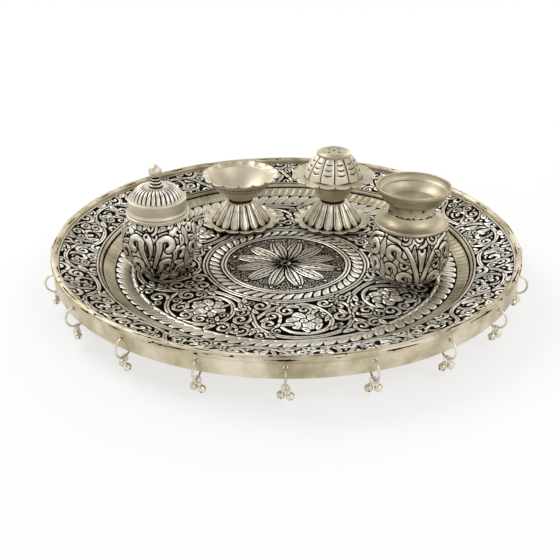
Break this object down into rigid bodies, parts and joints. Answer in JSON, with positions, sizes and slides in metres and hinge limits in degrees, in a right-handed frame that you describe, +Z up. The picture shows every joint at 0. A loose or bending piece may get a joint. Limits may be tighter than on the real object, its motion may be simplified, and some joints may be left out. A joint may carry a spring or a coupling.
{
  "type": "puja thali",
  "caption": "Round footed worship tray with an embossed well and rim, small bells on rings below its edge, and a lidded pot, a water pot, an oil lamp and an incense stand on it.",
  "frame": {"origin": "centre of the foot ring's underside, on the surface that the tray stands on", "axes": "+Z up, -Y towards the viewer, +X to the viewer's right"},
  "size_m": [0.3156, 0.3156, 0.0819],
  "materials": {
    "embossed_white_metal": "silver-plated white metal, chased and oxidised black in the recesses",
    "plain_white_metal": "silver-plated white metal, plain satin polish with a warm tarnish",
    "bell_wire": "silver-plated wire and pressed bell metal"
  },
  "bodies": {
    "thali": {"thali_dish": "embossed_white_metal", "rim_bead": "plain_white_metal", "rim_skirt": "plain_white_metal", "foot_ring": "plain_white_metal"},
    "pot": {"pot_body": "embossed_white_metal", "pot_neck": "plain_white_metal"},
    "pot_lid": {"lid_band": "plain_white_metal", "lid_dome": "embossed_white_metal", "lid_finial": "plain_white_metal"},
    "kalash": {"kalash_body": "embossed_white_metal", "kalash_shoulder": "plain_white_metal", "kalash_mouth": "plain_white_metal"},
    "lamp": {"lamp_base": "plain_white_metal", "lamp_foot": "plain_white_metal", "lamp_bowl": "plain_white_metal"},
    "incense_stand": {"stand_base": "plain_white_metal", "stand_foot": "plain_white_metal", "stand_bowl": "plain_white_metal", "stand_dome": "plain_white_metal", "stand_cap": "plain_white_metal"},
    "bell_ring_01": {"bell_ring_01": "bell_wire"},
    "bell_pair_01": {"bell_pair_01": "bell_wire"},
    "bell_ring_02": {"bell_ring_02": "bell_wire"},
    "bell_pair_02": {"bell_pair_02": "bell_wire"},
    "bell_ring_03": {"bell_ring_03": "bell_wire"},
    "bell_pair_03": {"bell_pair_03": "bell_wire"},
    "bell_ring_04": {"bell_ring_04": "bell_wire"},
    "bell_pair_04": {"bell_pair_04": "bell_wire"},
    "bell_ring_05": {"bell_ring_05": "bell_wire"},
    "bell_pair_05": {"bell_pair_05": "bell_wire"},
    "bell_ring_06": {"bell_ring_06": "bell_wire"},
    "bell_pair_06": {"bell_pair_06": "bell_wire"},
    "bell_ring_07": {"bell_ring_07": "bell_wire"},
    "bell_pair_07": {"bell_pair_07": "bell_wire"},
    "bell_ring_08": {"bell_ring_08": "bell_wire"},
    "bell_pair_08": {"bell_pair_08": "bell_wire"},
    "bell_ring_09": {"bell_ring_09": "bell_wire"},
    "bell_pair_09": {"bell_pair_09": "bell_wire"},
    "bell_ring_10": {"bell_ring_10": "bell_wire"},
    "bell_pair_10": {"bell_pair_10": "bell_wire"},
    "bell_ring_11": {"bell_ring_11": "bell_wire"},
    "bell_pair_11": {"bell_pair_11": "bell_wire"},
    "bell_ring_12": {"bell_ring_12": "bell_wire"},
    "bell_pair_12": {"bell_pair_12": "bell_wire"},
    "bell_ring_13": {"bell_ring_13": "bell_wire"},
    "bell_pair_13": {"bell_pair_13": "bell_wire"},
    "bell_ring_14": {"bell_ring_14": "bell_wire"},
    "bell_pair_14": {"bell_pair_14": "bell_wire"},
    "bell_ring_15": {"bell_ring_15": "bell_wire"},
    "bell_pair_15": {"bell_pair_15": "bell_wire"},
    "bell_ring_16": {"bell_ring_16": "bell_wire"},
    "bell_pair_16": {"bell_pair_16": "bell_wire"},
    "bell_ring_17": {"bell_ring_17": "bell_wire"},
    "bell_pair_17": {"bell_pair_17": "bell_wire"},
    "bell_ring_18": {"bell_ring_18": "bell_wire"},
    "bell_pair_18": {"bell_pair_18": "bell_wire"},
    "bell_ring_19": {"bell_ring_19": "bell_wire"},
    "bell_pair_19": {"bell_pair_19": "bell_wire"},
    "bell_ring_20": {"bell_ring_20": "bell_wire"},
    "bell_pair_20": {"bell_pair_20": "bell_wire"}
  },
  "joints": [
    {"name": "pot_lift", "type": "slide", "parent": "thali", "child": "pot", "axis": [0, 0, 1], "range_m": [0, 0.12]},
    {"name": "lid_lift", "type": "slide", "parent": "pot", "child": "pot_lid", "axis": [0, 0, 1], "range_m": [0, 0.06]},
    {"name": "kalash_lift", "type": "slide", "parent": "thali", "child": "kalash", "axis": [0, 0, 1], "range_m": [0, 0.12]},
    {"name": "lamp_lift", "type": "slide", "parent": "thali", "child": "lamp", "axis": [0, 0, 1], "range_m": [0, 0.12]},
    {"name": "stand_lift", "type": "slide", "parent": "thali", "child": "incense_stand", "axis": [0, 0, 1], "range_m": [0, 0.12]},
    {"name": "ring_swing_01", "type": "hinge", "parent": "thali", "child": "bell_ring_01", "pos_m": [0, -0.1511, 0.0252], "axis": [-1, 0, 0], "range_deg": [-20, 35]},
    {"name": "bell_swing_01", "type": "hinge", "parent": "bell_ring_01", "child": "bell_pair_01", "pos_m": [0, -0.1511, 0.0131], "axis": [0, -1, 0], "range_deg": [-25, 25]},
    {"name": "ring_swing_02", "type": "hinge", "parent": "thali", "child": "bell_ring_02", "pos_m": [0.04669, -0.1437, 0.0252], "axis": [-0.9511, -0.309, 0], "range_deg": [-20, 35]},
    {"name": "bell_swing_02", "type": "hinge", "parent": "bell_ring_02", "child": "bell_pair_02", "pos_m": [0.04669, -0.1437, 0.0131], "axis": [0.309, -0.9511, 0], "range_deg": [-25, 25]},
    {"name": "ring_swing_03", "type": "hinge", "parent": "thali", "child": "bell_ring_03", "pos_m": [0.08881, -0.12224, 0.0252], "axis": [-0.809, -0.5878, 0], "range_deg": [-20, 35]},
    {"name": "bell_swing_03", "type": "hinge", "parent": "bell_ring_03", "child": "bell_pair_03", "pos_m": [0.08881, -0.12224, 0.0131], "axis": [0.5878, -0.809, 0], "range_deg": [-25, 25]},
    {"name": "ring_swing_04", "type": "hinge", "parent": "thali", "child": "bell_ring_04", "pos_m": [0.12224, -0.08881, 0.0252], "axis": [-0.5878, -0.809, 0], "range_deg": [-20, 35]},
    {"name": "bell_swing_04", "type": "hinge", "parent": "bell_ring_04", "child": "bell_pair_04", "pos_m": [0.12224, -0.08881, 0.0131], "axis": [0.809, -0.5878, 0], "range_deg": [-25, 25]},
    {"name": "ring_swing_05", "type": "hinge", "parent": "thali", "child": "bell_ring_05", "pos_m": [0.1437, -0.04669, 0.0252], "axis": [-0.309, -0.9511, 0], "range_deg": [-20, 35]},
    {"name": "bell_swing_05", "type": "hinge", "parent": "bell_ring_05", "child": "bell_pair_05", "pos_m": [0.1437, -0.04669, 0.0131], "axis": [0.9511, -0.309, 0], "range_deg": [-25, 25]},
    {"name": "ring_swing_06", "type": "hinge", "parent": "thali", "child": "bell_ring_06", "pos_m": [0.1511, 0, 0.0252], "axis": [0, -1, 0], "range_deg": [-20, 35]},
    {"name": "bell_swing_06", "type": "hinge", "parent": "bell_ring_06", "child": "bell_pair_06", "pos_m": [0.1511, 0, 0.0131], "axis": [1, 0, 0], "range_deg": [-25, 25]},
    {"name": "ring_swing_07", "type": "hinge", "parent": "thali", "child": "bell_ring_07", "pos_m": [0.1437, 0.04669, 0.0252], "axis": [0.309, -0.9511, 0], "range_deg": [-20, 35]},
    {"name": "bell_swing_07", "type": "hinge", "parent": "bell_ring_07", "child": "bell_pair_07", "pos_m": [0.1437, 0.04669, 0.0131], "axis": [0.9511, 0.309, 0], "range_deg": [-25, 25]},
    {"name": "ring_swing_08", "type": "hinge", "parent": "thali", "child": "bell_ring_08", "pos_m": [0.12224, 0.08881, 0.0252], "axis": [0.5878, -0.809, 0], "range_deg": [-20, 35]},
    {"name": "bell_swing_08", "type": "hinge", "parent": "bell_ring_08", "child": "bell_pair_08", "pos_m": [0.12224, 0.08881, 0.0131], "axis": [0.809, 0.5878, 0], "range_deg": [-25, 25]},
    {"name": "ring_swing_09", "type": "hinge", "parent": "thali", "child": "bell_ring_09", "pos_m": [0.08881, 0.12224, 0.0252], "axis": [0.809, -0.5878, 0], "range_deg": [-20, 35]},
    {"name": "bell_swing_09", "type": "hinge", "parent": "bell_ring_09", "child": "bell_pair_09", "pos_m": [0.08881, 0.12224, 0.0131], "axis": [0.5878, 0.809, 0], "range_deg": [-25, 25]},
    {"name": "ring_swing_10", "type": "hinge", "parent": "thali", "child": "bell_ring_10", "pos_m": [0.04669, 0.1437, 0.0252], "axis": [0.9511, -0.309, 0], "range_deg": [-20, 35]},
    {"name": "bell_swing_10", "type": "hinge", "parent": "bell_ring_10", "child": "bell_pair_10", "pos_m": [0.04669, 0.1437, 0.0131], "axis": [0.309, 0.9511, 0], "range_deg": [-25, 25]},
    {"name": "ring_swing_11", "type": "hinge", "parent": "thali", "child": "bell_ring_11", "pos_m": [0, 0.1511, 0.0252], "axis": [1, 0, 0], "range_deg": [-20, 35]},
    {"name": "bell_swing_11", "type": "hinge", "parent": "bell_ring_11", "child": "bell_pair_11", "pos_m": [0, 0.1511, 0.0131], "axis": [0, 1, 0], "range_deg": [-25, 25]},
    {"name": "ring_swing_12", "type": "hinge", "parent": "thali", "child": "bell_ring_12", "pos_m": [-0.04669, 0.1437, 0.0252], "axis": [0.9511, 0.309, 0], "range_deg": [-20, 35]},
    {"name": "bell_swing_12", "type": "hinge", "parent": "bell_ring_12", "child": "bell_pair_12", "pos_m": [-0.04669, 0.1437, 0.0131], "axis": [-0.309, 0.9511, 0], "range_deg": [-25, 25]},
    {"name": "ring_swing_13", "type": "hinge", "parent": "thali", "child": "bell_ring_13", "pos_m": [-0.08881, 0.12224, 0.0252], "axis": [0.809, 0.5878, 0], "range_deg": [-20, 35]},
    {"name": "bell_swing_13", "type": "hinge", "parent": "bell_ring_13", "child": "bell_pair_13", "pos_m": [-0.08881, 0.12224, 0.0131], "axis": [-0.5878, 0.809, 0], "range_deg": [-25, 25]},
    {"name": "ring_swing_14", "type": "hinge", "parent": "thali", "child": "bell_ring_14", "pos_m": [-0.12224, 0.08881, 0.0252], "axis": [0.5878, 0.809, 0], "range_deg": [-20, 35]},
    {"name": "bell_swing_14", "type": "hinge", "parent": "bell_ring_14", "child": "bell_pair_14", "pos_m": [-0.12224, 0.08881, 0.0131], "axis": [-0.809, 0.5878, 0], "range_deg": [-25, 25]},
    {"name": "ring_swing_15", "type": "hinge", "parent": "thali", "child": "bell_ring_15", "pos_m": [-0.1437, 0.04669, 0.0252], "axis": [0.309, 0.9511, 0], "range_deg": [-20, 35]},
    {"name": "bell_swing_15", "type": "hinge", "parent": "bell_ring_15", "child": "bell_pair_15", "pos_m": [-0.1437, 0.04669, 0.0131], "axis": [-0.9511, 0.309, 0], "range_deg": [-25, 25]},
    {"name": "ring_swing_16", "type": "hinge", "parent": "thali", "child": "bell_ring_16", "pos_m": [-0.1511, 0, 0.0252], "axis": [0, 1, 0], "range_deg": [-20, 35]},
    {"name": "bell_swing_16", "type": "hinge", "parent": "bell_ring_16", "child": "bell_pair_16", "pos_m": [-0.1511, 0, 0.0131], "axis": [-1, 0, 0], "range_deg": [-25, 25]},
    {"name": "ring_swing_17", "type": "hinge", "parent": "thali", "child": "bell_ring_17", "pos_m": [-0.1437, -0.04669, 0.0252], "axis": [-0.309, 0.9511, 0], "range_deg": [-20, 35]},
    {"name": "bell_swing_17", "type": "hinge", "parent": "bell_ring_17", "child": "bell_pair_17", "pos_m": [-0.1437, -0.04669, 0.0131], "axis": [-0.9511, -0.309, 0], "range_deg": [-25, 25]},
    {"name": "ring_swing_18", "type": "hinge", "parent": "thali", "child": "bell_ring_18", "pos_m": [-0.12224, -0.08881, 0.0252], "axis": [-0.5878, 0.809, 0], "range_deg": [-20, 35]},
    {"name": "bell_swing_18", "type": "hinge", "parent": "bell_ring_18", "child": "bell_pair_18", "pos_m": [-0.12224, -0.08881, 0.0131], "axis": [-0.809, -0.5878, 0], "range_deg": [-25, 25]},
    {"name": "ring_swing_19", "type": "hinge", "parent": "thali", "child": "bell_ring_19", "pos_m": [-0.08881, -0.12224, 0.0252], "axis": [-0.809, 0.5878, 0], "range_deg": [-20, 35]},
    {"name": "bell_swing_19", "type": "hinge", "parent": "bell_ring_19", "child": "bell_pair_19", "pos_m": [-0.08881, -0.12224, 0.0131], "axis": [-0.5878, -0.809, 0], "range_deg": [-25, 25]},
    {"name": "ring_swing_20", "type": "hinge", "parent": "thali", "child": "bell_ring_20", "pos_m": [-0.04669, -0.1437, 0.0252], "axis": [-0.9511, 0.309, 0], "range_deg": [-20, 35]},
    {"name": "bell_swing_20", "type": "hinge", "parent": "bell_ring_20", "child": "bell_pair_20", "pos_m": [-0.04669, -0.1437, 0.0131], "axis": [-0.309, -0.9511, 0], "range_deg": [-25, 25]}
  ]
}
